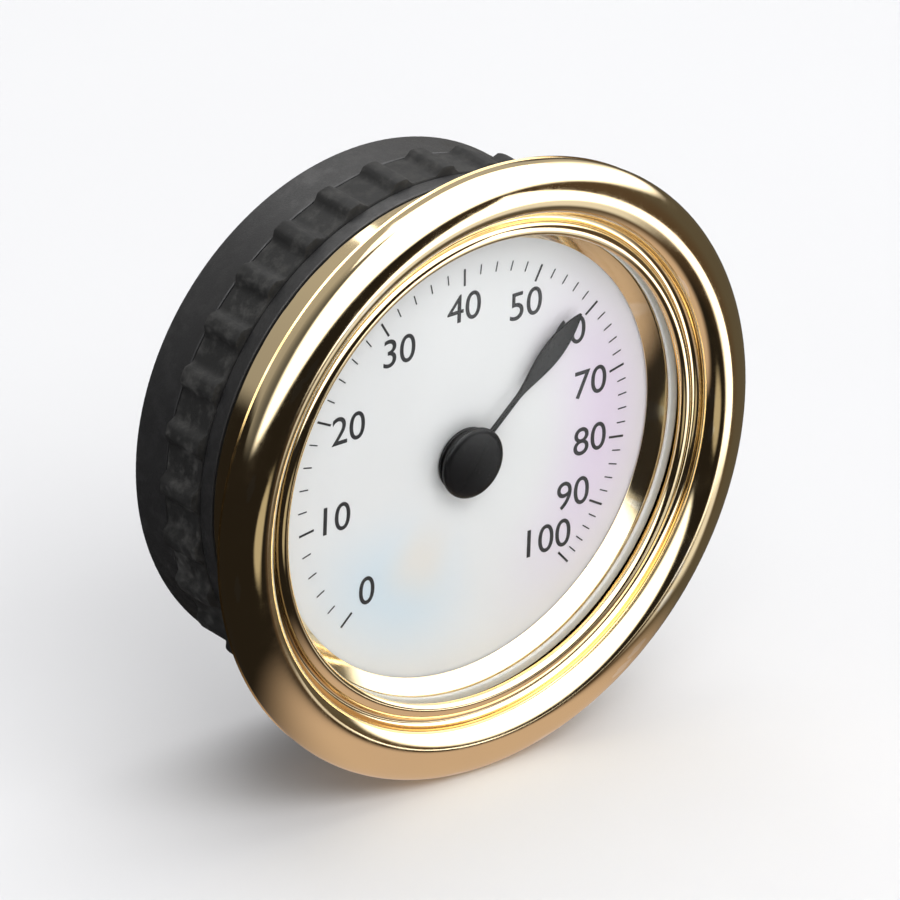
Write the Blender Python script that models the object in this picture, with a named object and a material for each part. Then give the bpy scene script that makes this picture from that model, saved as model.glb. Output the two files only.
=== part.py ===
"""Dial hygrometer: a small round panel instrument with a gilt bezel and a coil-driven pointer.

Run with: blender --background --python part.py

Frame: metres, +Z up. The dial faces -Y. The origin is on the dial's axis, in the plane where the bezel's
flange rests on the panel. Every turned outline below is a list of (radius, depth) pairs in millimetres,
where depth is measured along +Y, so what stands in front of the panel has a negative depth.
"""

import math

import bmesh
import bpy

MM = 0.001

# Driving sizes, in millimetres.
BEZEL_RADIUS = 18.75
BEZEL_HEIGHT = 2.0
OPENING_RADIUS = 14.2
WINDOW_RADIUS = 13.3
HOLE_RADIUS = 16.0
BODY_RADIUS = 15.7
BODY_DEPTH = 11.8
GAP = 0.15

# Angles, in degrees clockwise from twelve o'clock as seen from the front.
READING_ANGLE = 48.0
REGULATOR_ANGLE = 240.0
PILLAR_ANGLES = (60.0, 180.0, 300.0)

# Sides of a round piece, by its size.
WIDE_SIDES = 60
MIDDLE_SIDES = 32
SMALL_SIDES = 20

# Stack of pieces along the axis, front to back.
LENS_FRONT = -0.4
LENS_THICKNESS = 0.45
GASKET_THICKNESS = 0.25
DIAL_FRONT = 1.3
DIAL_THICKNESS = 0.4
PLATE_THICKNESS = 0.8
PILLAR_LENGTH = 4.8
BRIDGE_THICKNESS = 0.8

LENS_BACK = LENS_FRONT + LENS_THICKNESS
GASKET_FRONT = LENS_BACK + 0.1
GASKET_BACK = GASKET_FRONT + GASKET_THICKNESS
CAP_FRONT = LENS_BACK + 0.1
CAP_BACK = CAP_FRONT + 0.4
BLADE_FRONT = CAP_BACK + 0.1
BLADE_BACK = BLADE_FRONT + 0.2
HUB_FRONT = BLADE_BACK + 0.1
HUB_BACK = DIAL_FRONT - GAP
DIAL_BACK = DIAL_FRONT + DIAL_THICKNESS
PLATE_FRONT = DIAL_BACK + GAP
PLATE_BACK = PLATE_FRONT + PLATE_THICKNESS
PILLAR_FRONT = PLATE_BACK + GAP
PILLAR_BACK = PILLAR_FRONT + PILLAR_LENGTH
BRIDGE_FRONT = PILLAR_BACK + GAP
BRIDGE_BACK = BRIDGE_FRONT + BRIDGE_THICKNESS

# Movement.
LENS_RADIUS = 14.75
STACK_RADIUS = 14.95
RUNNING_GAP = 0.1
ARBOR_RADIUS = 0.35
PIVOT_RADIUS = 0.22
BORE_RADIUS = ARBOR_RADIUS + RUNNING_GAP
PILLAR_CIRCLE = 10.6
PILLAR_RADIUS = 1.0
SCREW_BORE_RADIUS = 0.65
STUD_CIRCLE = 7.0
STUD_RADIUS = 0.45
BEARING_RADIUS = 1.75
COIL_FRONT = 3.6
COIL_WIDTH = 2.4
COIL_THICKNESS = 0.18
COIL_TURNS = 5.5
COLLET_RADIUS = 1.2
COIL_BACK = COIL_FRONT + COIL_WIDTH
ARBOR_BACK = 8.6


def clear_scene():
    """Remove every object, so that a second run starts from nothing."""
    for thing in list(bpy.data.objects):
        bpy.data.objects.remove(thing, do_unlink=True)


def material(name, colour, roughness, metallic=0.0, transmission=0.0):
    """Return a Principled material of this colour and finish."""
    made = bpy.data.materials.new(name)
    made.use_nodes = True
    shader = made.node_tree.nodes["Principled BSDF"]
    shader.inputs["Base Color"].default_value = (*colour, 1.0)
    shader.inputs["Roughness"].default_value = roughness
    shader.inputs["Metallic"].default_value = metallic
    shader.inputs["Transmission Weight"].default_value = transmission
    made.diffuse_color = (*colour, 1.0)
    return made


def empty(name, turn=0.0, parent=None):
    """Return an empty on the dial's axis, turned clockwise by an angle in degrees."""
    made = bpy.data.objects.new(name, None)
    made.rotation_euler.y = math.radians(turn)
    made.parent = parent
    bpy.context.collection.objects.link(made)
    return made


def solid(name, bm, finish, parent=None, smooth=True):
    """Turn a bmesh into an object with outward faces, smooth but for its sharp edges."""
    bmesh.ops.recalc_face_normals(bm, faces=bm.faces)
    mesh = bpy.data.meshes.new(name)
    bm.to_mesh(mesh)
    bm.free()
    if finish:
        mesh.materials.append(finish)
    if smooth:
        mesh.shade_smooth()
        mesh.set_sharp_from_angle(angle=math.radians(32))
    made = bpy.data.objects.new(name, mesh)
    made.parent = parent
    bpy.context.collection.objects.link(made)
    return made


def arc(centre, reach, start, end, count):
    """Return points on an ellipse, from one angle to another, as (radius, depth) pairs."""
    points = []
    for step in range(count + 1):
        angle = math.radians(start + (end - start) * step / count)
        points.append((centre[0] + reach[0] * math.cos(angle), centre[1] + reach[1] * math.sin(angle)))
    return points


def turned(name, outline, finish, parent=None, sides=WIDE_SIDES, sweep=360.0):
    """Spin a closed (radius, depth) outline about the dial's axis and close any open ends."""
    bm = bmesh.new()
    corners = [bm.verts.new((radius * MM, depth * MM, 0.0)) for radius, depth in outline]
    edges = [bm.edges.new((first, second)) for first, second in zip(corners, corners[1:] + corners[:1])]
    whole = sweep == 360.0
    bmesh.ops.spin(
        bm,
        geom=corners + edges,
        cent=(0, 0, 0),
        axis=(0, 1, 0),
        angle=math.radians(sweep),
        steps=sides,
        use_merge=whole,
    )
    bmesh.ops.remove_doubles(bm, verts=bm.verts, dist=1e-7)
    if whole:
        on_axis = [edge for edge in bm.edges if all(math.hypot(v.co.x, v.co.z) < 1e-7 for v in edge.verts)]
        bmesh.ops.delete(bm, geom=on_axis, context="EDGES")
    else:
        bmesh.ops.holes_fill(bm, edges=bm.edges, sides=0)
    return solid(name, bm, finish, parent)


def tube(inner, outer, front, back, chamfer=0.0):
    """Return the outline of a ring, with its outer corners cut by a chamfer."""
    if not chamfer:
        return [(inner, front), (outer, front), (outer, back), (inner, back)]
    return [
        (inner, front),
        (outer - chamfer, front),
        (outer, front + chamfer),
        (outer, back - chamfer),
        (outer - chamfer, back),
        (inner, back),
    ]


def plate(name, outline, front, back, finish, parent=None):
    """Extrude an (x, z) outline in millimetres from one depth to another."""
    bm = bmesh.new()
    face = bm.faces.new([bm.verts.new((x * MM, front * MM, z * MM)) for x, z in outline])
    grown = bmesh.ops.extrude_face_region(bm, geom=[face], use_keep_orig=True)["geom"]
    moved = [item for item in grown if isinstance(item, bmesh.types.BMVert)]
    bmesh.ops.translate(bm, verts=moved, vec=(0, (back - front) * MM, 0))
    return solid(name, bm, finish, parent)


def at(radius, angle):
    """Return the (x, z) point at a radius and a clock angle in degrees."""
    return radius * math.sin(math.radians(angle)), radius * math.cos(math.radians(angle))


def place(thing, radius, angle):
    """Move an object from the dial's axis out to a radius and a clock angle."""
    x, z = at(radius, angle)
    thing.location = (x * MM, 0.0, z * MM)
    return thing


def cutter(thing):
    """Mark an object as a cutter, which is not a piece of the instrument."""
    thing.hide_render = True
    thing.display_type = "WIRE"
    return thing


def cut(thing, tool):
    """Take a cutter away from an object."""
    change = thing.modifiers.new("cut_" + tool.name, "BOOLEAN")
    change.operation = "DIFFERENCE"
    change.solver = "EXACT"
    change.object = tool
    return thing


def round_cutter(name, radius, angle, size, front, back, parent=None):
    """Return a round cutter at a radius and a clock angle."""
    outline = [(0.0, front), (size, front), (size, back), (0.0, back)]
    return place(cutter(turned(name, outline, None, parent, SMALL_SIDES)), radius, angle)


def slot_cutter(name, width, length, front, back, parent=None):
    """Return a straight cutter across the dial's axis, for a screwdriver slot."""
    half, reach = width / 2, length / 2
    outline = [(-half, -reach), (half, -reach), (half, reach), (-half, reach)]
    return cutter(plate(name, outline, front, back, None, parent))


def settle(thing):
    """Replace an object's mesh by its cut shape, so that copies can share it."""
    shape = thing.evaluated_get(bpy.context.evaluated_depsgraph_get())
    thing.data = bpy.data.meshes.new_from_object(shape)
    thing.modifiers.clear()
    return thing


def bezel_outline():
    """Return the bezel's section: a flange and a skirt behind, and a bead, a cove and a lip in front."""
    bead_peak = 17.1
    bead_foot = -0.7
    bead_inside = 15.6
    inside_foot = -0.9
    cove_floor = 15.2
    cove_depth = 0.3
    lip_foot = -0.7
    lip_half = 0.45
    lip_height = 0.3
    outside_reach = (BEZEL_RADIUS - bead_peak, BEZEL_HEIGHT + bead_foot)
    inside_reach = (bead_peak - bead_inside, BEZEL_HEIGHT + inside_foot)
    outside = arc((bead_peak, bead_foot), outside_reach, 0, -90, 7)
    inside = arc((bead_peak, inside_foot), inside_reach, -90, -180, 7)
    cove = arc((cove_floor, inside_foot), (bead_inside - cove_floor, cove_depth), 0, 90, 3)
    lip = arc((OPENING_RADIUS + lip_half, lip_foot), (lip_half, lip_height), 0, -180, 6)
    seat_front = LENS_FRONT - 0.1
    step_front = -GAP
    behind = [
        (OPENING_RADIUS, seat_front),
        (LENS_RADIUS + GAP, seat_front),
        (LENS_RADIUS + GAP, step_front),
        (STACK_RADIUS + GAP, step_front),
        (STACK_RADIUS + GAP, 4.2),
        (BODY_RADIUS, 4.2),
        (BODY_RADIUS, 0.0),
        (BEZEL_RADIUS - 0.2, 0.0),
        (BEZEL_RADIUS, -0.2),
    ]
    return outside + inside[1:] + cove[1:] + lip + behind


def build_front(finish):
    """Bezel, lens, gasket, dial ring and dial, which hold the face together."""
    turned("bezel", bezel_outline(), finish["gilt"])
    edge = 0.15
    lens = [
        (0.0, LENS_FRONT),
        (LENS_RADIUS - edge, LENS_FRONT),
        (LENS_RADIUS, LENS_FRONT + edge),
        (LENS_RADIUS, LENS_BACK),
        (0.0, LENS_BACK),
    ]
    turned("lens", lens, finish["clear"])
    turned("lens_gasket", tube(OPENING_RADIUS, LENS_RADIUS, GASKET_FRONT, GASKET_BACK), finish["silicone"])
    ring_front = GASKET_BACK + 0.1
    ring_back = DIAL_FRONT - 0.1
    ring = [
        (OPENING_RADIUS, ring_front),
        (STACK_RADIUS, ring_front),
        (STACK_RADIUS, ring_back),
        (WINDOW_RADIUS, ring_back),
    ]
    turned("dial_ring", ring, finish["gilt_ring"])
    turned("dial", tube(1.0, STACK_RADIUS, DIAL_FRONT, DIAL_BACK), finish["white"])


def build_frame(finish):
    """Movement plate, front bush, pillars, bridge and its screws, which carry the works."""
    turned("movement_plate", tube(1.0, STACK_RADIUS, PLATE_FRONT, PLATE_BACK), finish["brass_plate"])
    bush = [
        (BORE_RADIUS, DIAL_FRONT + 0.05),
        (0.85, DIAL_FRONT + 0.05),
        (0.85, PLATE_BACK + GAP),
        (1.6, PLATE_BACK + GAP),
        (1.6, PLATE_BACK + 0.5),
        (BORE_RADIUS, PLATE_BACK + 0.5),
    ]
    turned("front_bush", bush, finish["bronze"], sides=SMALL_SIDES)
    bore_front = PILLAR_BACK - 2.2
    pillar = [
        (0.0, PILLAR_FRONT),
        (PILLAR_RADIUS, PILLAR_FRONT),
        (PILLAR_RADIUS, PILLAR_BACK),
        (SCREW_BORE_RADIUS, PILLAR_BACK),
        (SCREW_BORE_RADIUS, bore_front),
        (0.0, bore_front),
    ]
    first = turned("pillar_1", pillar, finish["brass_pillar"], sides=SMALL_SIDES)
    copies(first, "pillar")
    bridge = plate("rear_bridge", bridge_outline(), BRIDGE_FRONT, BRIDGE_BACK, finish["brass_bridge"])
    reach = (BRIDGE_FRONT - 1.0, BRIDGE_BACK + 1.0)
    cut(bridge, round_cutter("bearing_hole_cutter", 0.0, 0.0, BEARING_RADIUS + RUNNING_GAP, *reach))
    for number, angle in enumerate(PILLAR_ANGLES, start=1):
        name = f"bridge_hole_cutter_{number}"
        cut(bridge, round_cutter(name, PILLAR_CIRCLE, angle, SCREW_BORE_RADIUS, *reach))
    build_screws(finish)


def copies(first, stem):
    """Stand a piece on the first pillar's place and a copy of it on each of the others."""
    place(first, PILLAR_CIRCLE, PILLAR_ANGLES[0])
    for number, angle in enumerate(PILLAR_ANGLES[1:], start=2):
        copy = bpy.data.objects.new(f"{stem}_{number}", first.data)
        bpy.context.collection.objects.link(copy)
        place(copy, PILLAR_CIRCLE, angle)


def bridge_outline():
    """Return a three-armed plate: a round middle with a round-ended arm to each pillar."""
    middle = 4.2
    half_width = 1.7
    spread = math.degrees(math.asin(half_width / middle))
    points = []
    for number, angle in enumerate(PILLAR_ANGLES):
        after = PILLAR_ANGLES[(number + 1) % len(PILLAR_ANGLES)]
        tip_x, tip_z = at(PILLAR_CIRCLE, angle)
        for step in range(9):
            dx, dz = at(half_width, angle - 90 + step * 22.5)
            points.append((tip_x + dx, tip_z + dz))
        span = (after - angle) % 360 - 2 * spread
        for step in range(7):
            points.append(at(middle, angle + spread + span * step / 6))
    return points


def build_screws(finish):
    """Three slotted cheese-head screws that hold the bridge on its pillars."""
    head_front = BRIDGE_BACK + GAP
    head_back = head_front + 0.65
    shank = [
        (0.0, head_front - 2.8),
        (0.5, head_front - 2.8),
        (0.5, head_front),
        (1.35, head_front),
        (1.35, head_back - 0.15),
        (1.2, head_back),
        (0.0, head_back),
    ]
    screw = turned("bridge_screw_1", shank, finish["screw"], sides=SMALL_SIDES)
    tool = slot_cutter("screw_slot_cutter", 0.4, 4.0, head_back - 0.35, head_back + 1.0)
    cut(screw, tool)
    bpy.context.view_layer.update()
    copies(settle(screw), "bridge_screw")
    bpy.data.objects.remove(tool, do_unlink=True)


def build_case(finish):
    """Rear case with its vents, and the ribbed ring that grips the panel hole."""
    inner = 13.9
    access = BEARING_RADIUS + 0.2
    groove = BODY_RADIUS - 0.7
    groove_front, groove_back = 5.4, 8.6
    wall_front = BODY_DEPTH - 1.2
    outline = [
        (inner, PLATE_BACK + GAP),
        (STACK_RADIUS, PLATE_BACK + GAP),
        (STACK_RADIUS, 4.2 + GAP),
        (BODY_RADIUS, 4.2 + GAP),
        (BODY_RADIUS, groove_front),
        (groove, groove_front),
        (groove, groove_back),
        (BODY_RADIUS, groove_back),
        (BODY_RADIUS, BODY_DEPTH - 0.5),
        (BODY_RADIUS - 0.5, BODY_DEPTH),
        (access, BODY_DEPTH),
        (access, wall_front),
        (inner - 0.5, wall_front),
        (inner, wall_front - 0.5),
    ]
    case = turned("rear_case", outline, finish["black_case"])
    cut(case, vent_cutter(12, 5.4, 11.6, 0.65, wall_front - 1.0, BODY_DEPTH + 1.0))
    grip_ring(groove + 0.1, groove_front + 0.1, groove_back - 0.1, finish["rubber"])


def vent_cutter(count, near, far, half_width, front, back):
    """Return one cutter that holds a ring of round-ended radial slots."""
    bm = bmesh.new()
    for number in range(count):
        angle = 360.0 * (number + 0.5) / count
        points = []
        for centre, start in ((far, -90.0), (near, 90.0)):
            x, z = at(centre, angle)
            for step in range(7):
                dx, dz = at(half_width, angle + start + step * 30.0)
                points.append(bm.verts.new(((x + dx) * MM, front * MM, (z + dz) * MM)))
        face = bm.faces.new(points)
        grown = bmesh.ops.extrude_face_region(bm, geom=[face], use_keep_orig=True)["geom"]
        moved = [item for item in grown if isinstance(item, bmesh.types.BMVert)]
        bmesh.ops.translate(bm, verts=moved, vec=(0, (back - front) * MM, 0))
    return cutter(solid("vent_cutter", bm, None))


def grip_ring(inner, front, back, finish):
    """A rubber ring with ribs along the axis, which are a little proud of the panel hole."""
    ribs = 30
    floor = BODY_RADIUS + 0.05
    crest = HOLE_RADIUS + 0.25
    rib_share = ((0.0, floor), (0.28, floor), (0.42, crest), (0.58, crest), (0.72, floor))
    outer = []
    for rib in range(ribs):
        for share, radius in rib_share:
            outer.append((radius, 360.0 * (rib + share) / ribs))
    bm = bmesh.new()
    loops = []
    for depth in (front, back):
        for on_crest in (True, False):
            points = [at(radius if on_crest else inner, angle) for radius, angle in outer]
            loops.append([bm.verts.new((x * MM, depth * MM, z * MM)) for x, z in points])
    front_outer, front_inner, back_outer, back_inner = loops
    for first, second in (
        (front_outer, front_inner),
        (front_inner, back_inner),
        (back_inner, back_outer),
        (back_outer, front_outer),
    ):
        for number in range(len(outer)):
            after = (number + 1) % len(outer)
            bm.faces.new((first[number], first[after], second[after], second[number]))
    solid("grip_ring", bm, finish)


def build_regulator(finish, parent):
    """Slotted bush that is also the rear bearing, its arm, clip, friction washer and coil stud."""
    boss_front = COIL_BACK + 0.4
    arm_front, arm_back = 6.95, 7.45
    boss = 1.3
    neck = 1.05
    shoulder = arm_back + GAP
    head_front = BRIDGE_BACK + 0.5
    head_back = head_front + 0.45
    end = BODY_DEPTH - 0.4
    pivot_bore = PIVOT_RADIUS + RUNNING_GAP
    outline = [
        (pivot_bore, boss_front),
        (boss, boss_front),
        (boss, 6.5),
        (neck, 6.5),
        (neck, 6.85),
        (boss, 6.85),
        (boss, shoulder),
        (BEARING_RADIUS, shoulder),
        (BEARING_RADIUS, head_front),
        (3.0, head_front),
        (3.0, head_back),
        (BEARING_RADIUS, head_back),
        (BEARING_RADIUS, end - 0.15),
        (BEARING_RADIUS - 0.15, end),
        (0.0, end),
        (0.0, ARBOR_BACK + 0.3),
        (pivot_bore, ARBOR_BACK + 0.3),
    ]
    bush = turned("regulator_bush", outline, finish["brass_bush"], parent, MIDDLE_SIDES)
    cut(bush, slot_cutter("regulator_slot_cutter", 0.7, 6.0, end - 0.9, end + 1.0, parent))

    arm = plate("regulator_arm", arm_outline(), arm_front, arm_back, finish["steel_arm"], parent)
    reach = (arm_front - 1.0, arm_back + 1.0)
    cut(arm, round_cutter("arm_boss_cutter", 0.0, 0.0, boss + GAP, *reach, parent))
    cut(arm, round_cutter("arm_stud_cutter", STUD_CIRCLE, 0.0, STUD_RADIUS + GAP, *reach, parent))

    clip = tube(neck + 0.1, 2.2, 6.55, 6.8)
    turned("retaining_clip", clip, finish["steel_clip"], parent, SMALL_SIDES, sweep=290.0)
    stud = [
        (0.0, COIL_FRONT),
        (STUD_RADIUS, COIL_FRONT),
        (STUD_RADIUS, arm_back),
        (0.0, arm_back),
    ]
    place(turned("coil_stud", stud, finish["brass_stud"], parent, SMALL_SIDES), STUD_CIRCLE, 0.0)

    washer = [
        (BEARING_RADIUS + GAP, head_front - 0.27),
        (3.1, BRIDGE_BACK + 0.12),
        (3.1, BRIDGE_BACK + 0.24),
        (BEARING_RADIUS + GAP, head_front - 0.13),
    ]
    turned("friction_washer", washer, finish["steel_washer"], sides=MIDDLE_SIDES)


def arm_outline():
    """Return the arm's outline: a round eye on the bush that narrows to a round end at the stud."""
    eye = 2.6
    tip = 1.05
    points = [at(eye, 30.0 + 300.0 * step / 16) for step in range(17)]
    for step in range(7):
        dx, dz = at(tip, -90.0 + 30.0 * step)
        points.append((dx, STUD_CIRCLE + dz))
    return points


def build_coil(finish, parent):
    """The humidity-sensitive strip, wound in a flat spiral from the collet out to the stud."""
    start = COLLET_RADIUS + 0.1 + COIL_THICKNESS / 2
    end = STUD_CIRCLE - STUD_RADIUS - 0.1 - COIL_THICKNESS / 2
    steps = int(COIL_TURNS * 22)
    bm = bmesh.new()
    line = []
    for step in range(steps + 1):
        share = step / steps
        x, z = at(start + (end - start) * share, -360.0 * COIL_TURNS * (1.0 - share))
        line.append(bm.verts.new((x * MM, COIL_FRONT * MM, z * MM)))
    edges = [bm.edges.new(pair) for pair in zip(line, line[1:])]
    grown = bmesh.ops.extrude_edge_only(bm, edges=edges)["geom"]
    moved = [item for item in grown if isinstance(item, bmesh.types.BMVert)]
    bmesh.ops.translate(bm, verts=moved, vec=(0, COIL_WIDTH * MM, 0))
    coil = solid("humidity_coil", bm, finish["strip"], parent)
    thick = coil.modifiers.new("thickness", "SOLIDIFY")
    thick.thickness = COIL_THICKNESS * MM
    thick.offset = 0.0


def build_pointer(finish, parent):
    """Arbor, coil collet and pointer with its hub and cap, which turn together."""
    arbor = [
        (0.0, BLADE_FRONT),
        (ARBOR_RADIUS, BLADE_FRONT),
        (ARBOR_RADIUS, COIL_BACK + 0.2),
        (PIVOT_RADIUS, COIL_BACK + 0.4),
        (PIVOT_RADIUS, ARBOR_BACK),
        (0.0, ARBOR_BACK),
    ]
    turned("arbor", arbor, finish["steel_arbor"], parent, SMALL_SIDES)
    collet = tube(BORE_RADIUS, COLLET_RADIUS, COIL_FRONT - 0.15, COIL_BACK + 0.15, 0.1)
    turned("coil_collet", collet, finish["brass_collet"], parent, SMALL_SIDES)
    blade = plate("pointer", pointer_outline(), BLADE_FRONT, BLADE_BACK, finish["black_pointer"], parent)
    reach = (BLADE_FRONT - 1.0, BLADE_BACK + 1.0)
    cut(blade, round_cutter("pointer_bore_cutter", 0.0, 0.0, BORE_RADIUS, *reach, parent))
    hub = tube(BORE_RADIUS, 1.95, HUB_FRONT, HUB_BACK, 0.05)
    turned("pointer_hub", hub, finish["black_hub"], parent, MIDDLE_SIDES)
    cap_radius = 2.15
    dome = 0.3
    dome_foot = CAP_FRONT + dome
    shoulder = arc((cap_radius - 0.5, dome_foot), (0.5, dome), 0, -90, 5)
    cap = [(0.0, CAP_BACK), (cap_radius, CAP_BACK)] + shoulder + [(0.0, CAP_FRONT)]
    turned("pointer_cap", cap, finish["black_cap"], parent, MIDDLE_SIDES)


def pointer_outline():
    """Return the pointer's outline: a round eye, a thin neck and a leaf-shaped blade."""
    eye = 1.9
    neck = 0.16
    leaf_start, leaf_end = 4.6, 10.6
    leaf_half = 0.74
    spread = math.degrees(math.asin(neck / eye))
    points = [at(eye, spread + (360.0 - 2 * spread) * step / 24) for step in range(25)]
    sides = []
    for step in range(8):
        share = step / 8
        half = neck + (leaf_half - neck) * math.sin(math.pi * min(share / 0.55, 1.0) / 2)
        if share > 0.55:
            half = leaf_half * (1.0 - (share - 0.55) / 0.45) + 0.04
        sides.append((half, leaf_start + (leaf_end - leaf_start) * share))
    points += [(-half, z) for half, z in sides]
    points.append((0.0, leaf_end))
    points += [(half, z) for half, z in reversed(sides)]
    return points


def finishes():
    """Return every material by its name in this script."""
    gold = (0.92, 0.72, 0.38)
    brass = (0.78, 0.6, 0.3)
    black = (0.012, 0.012, 0.013)
    steel = (0.6, 0.61, 0.63)
    made = {
        "gilt": material("gilt_bezel", gold, 0.12, 1.0),
        "gilt_ring": material("gilt_dial_ring", gold, 0.2, 1.0),
        "clear": material("clear_lens", (0.97, 0.98, 0.98), 0.02, transmission=1.0),
        "silicone": material("clear_silicone", (0.8, 0.8, 0.78), 0.5),
        "white": material("white_dial", (0.86, 0.86, 0.87), 0.45),
        "bronze": material("sintered_bronze", (0.55, 0.36, 0.2), 0.5, 1.0),
        "black_case": material("black_case", black, 0.5),
        "rubber": material("black_rubber", (0.02, 0.02, 0.02), 0.8),
        "strip": material("bimetal_strip", (0.62, 0.5, 0.36), 0.4, 1.0),
        "screw": material("steel_screw", steel, 0.3, 1.0),
    }
    for piece in ("plate", "pillar", "bridge", "bush", "stud", "collet"):
        made["brass_" + piece] = material("brass_" + piece, brass, 0.3, 1.0)
    for piece in ("arm", "clip", "washer", "arbor"):
        made["steel_" + piece] = material("steel_" + piece, steel, 0.3, 1.0)
    for piece in ("pointer", "hub", "cap"):
        made["black_" + piece] = material("black_" + piece, black, 0.15)
    return made


def main():
    clear_scene()
    finish = finishes()
    build_front(finish)
    build_frame(finish)
    build_case(finish)
    regulator = empty("regulator_axis", REGULATOR_ANGLE)
    build_regulator(finish, regulator)
    build_coil(finish, regulator)
    build_pointer(finish, empty("pointer_axis", READING_ANGLE))


main()
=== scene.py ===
"""Looks of the dial hygrometer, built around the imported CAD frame.

Frame: metres, +Z up, the dial faces -Y, and the origin is on the dial's axis in the panel's plane.
Turned outlines are lists of (radius, depth) pairs in millimetres, where depth runs along +Y.
Clock angles are in degrees clockwise from twelve o'clock, as seen from the front.
"""

import math

import bmesh
import bpy
from mathutils import Euler, Matrix, Vector


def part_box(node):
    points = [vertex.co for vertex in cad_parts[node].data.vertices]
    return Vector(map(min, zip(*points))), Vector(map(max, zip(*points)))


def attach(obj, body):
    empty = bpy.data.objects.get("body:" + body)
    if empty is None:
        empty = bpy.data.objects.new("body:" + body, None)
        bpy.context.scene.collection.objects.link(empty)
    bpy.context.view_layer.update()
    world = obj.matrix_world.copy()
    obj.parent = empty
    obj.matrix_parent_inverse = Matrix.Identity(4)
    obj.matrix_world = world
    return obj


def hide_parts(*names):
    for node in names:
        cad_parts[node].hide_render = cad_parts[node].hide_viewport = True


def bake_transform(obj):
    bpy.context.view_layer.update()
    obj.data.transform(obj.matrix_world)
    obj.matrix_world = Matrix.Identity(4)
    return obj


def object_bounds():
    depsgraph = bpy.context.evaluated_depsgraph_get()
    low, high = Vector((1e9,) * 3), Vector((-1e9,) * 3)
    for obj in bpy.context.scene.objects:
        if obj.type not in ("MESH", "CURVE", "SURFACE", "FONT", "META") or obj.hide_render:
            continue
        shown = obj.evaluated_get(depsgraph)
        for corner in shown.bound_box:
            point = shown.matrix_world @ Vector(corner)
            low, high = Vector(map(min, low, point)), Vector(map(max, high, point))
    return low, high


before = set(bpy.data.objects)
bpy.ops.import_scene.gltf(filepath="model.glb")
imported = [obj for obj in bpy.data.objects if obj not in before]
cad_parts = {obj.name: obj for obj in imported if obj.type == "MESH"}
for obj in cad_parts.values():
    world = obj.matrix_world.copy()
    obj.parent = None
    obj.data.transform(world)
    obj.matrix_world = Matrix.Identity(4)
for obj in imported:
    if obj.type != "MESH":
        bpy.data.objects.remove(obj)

MM = 0.001
CAD_LOW, CAD_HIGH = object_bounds()

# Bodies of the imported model.
CASE = "case"
REGULATOR = "regulator"
POINTER = "pointer_assembly"


def span(node):
    """Return a node's lowest and highest corners in millimetres."""
    low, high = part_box(node)
    return low / MM, high / MM


# Sizes read from the frame, in millimetres.
BEZEL_FRONT = span("bezel")[0].y
BEZEL_RADIUS = span("bezel")[1].x
SKIRT_BACK = span("bezel")[1].y
LENS_FRONT, LENS_BACK = span("lens")[0].y, span("lens")[1].y
LENS_RADIUS = span("lens")[1].x
DIAL_FRONT, DIAL_BACK = span("dial")[0].y, span("dial")[1].y
DIAL_RADIUS = span("dial")[1].x
CASE_FRONT, CASE_BACK = span("rear_case")[0].y, span("rear_case")[1].y
GRIP_FRONT, GRIP_BACK = span("grip_ring")[0].y, span("grip_ring")[1].y
GRIP_RADIUS = span("grip_ring")[1].x
BRIDGE_FRONT, BRIDGE_BACK = span("rear_bridge")[0].y, span("rear_bridge")[1].y
COIL_FRONT, COIL_BACK = span("humidity_coil")[0].y, span("humidity_coil")[1].y

# Sizes that a box can't tell, in millimetres, as the CAD has them.
OPENING_RADIUS = 14.2
WINDOW_RADIUS = 13.3
BODY_RADIUS = 15.7
PILLAR_CIRCLE = 10.6
STUD_CIRCLE = 7.0
STUD_RADIUS = 0.45
COLLET_RADIUS = 1.2
COIL_TURNS = 5.5
BEARING_RADIUS = 1.75
ARBOR_BORE = 0.45
SCREW_BORE = 0.65
CLEARANCE = 0.15

# Angles in degrees.
READING_ANGLE = 48.0
REGULATOR_ANGLE = 240.0
PILLAR_ANGLES = (60.0, 180.0, 300.0)

# The scale: its angle at 0, the sweep to 100, and how much wider its first divisions are.
SCALE_START = 226.0
SCALE_SWEEP = 272.0
SCALE_BIAS = 0.36

# What polished metal sees level with it: a colour at each azimuth, as a share of GLEAM's brightness.
DARK = (0.006, 0.005, 0.004)
BRONZE = (0.032, 0.022, 0.014)
OLIVE = (0.036, 0.032, 0.025)
SIDE_COLOURS = [(-180, OLIVE), (-160, DARK), (22, DARK), (48, BRONZE), (70, OLIVE), (130, OLIVE)]
GLEAM = 3.0

# A crease of more than this many degrees stays sharp, or gets a bevel.
SHARP_ANGLE = 40.0

WIDE_SIDES = 240
MIDDLE_SIDES = 96
SMALL_SIDES = 48


# ---------------------------------------------------------------- materials


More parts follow.
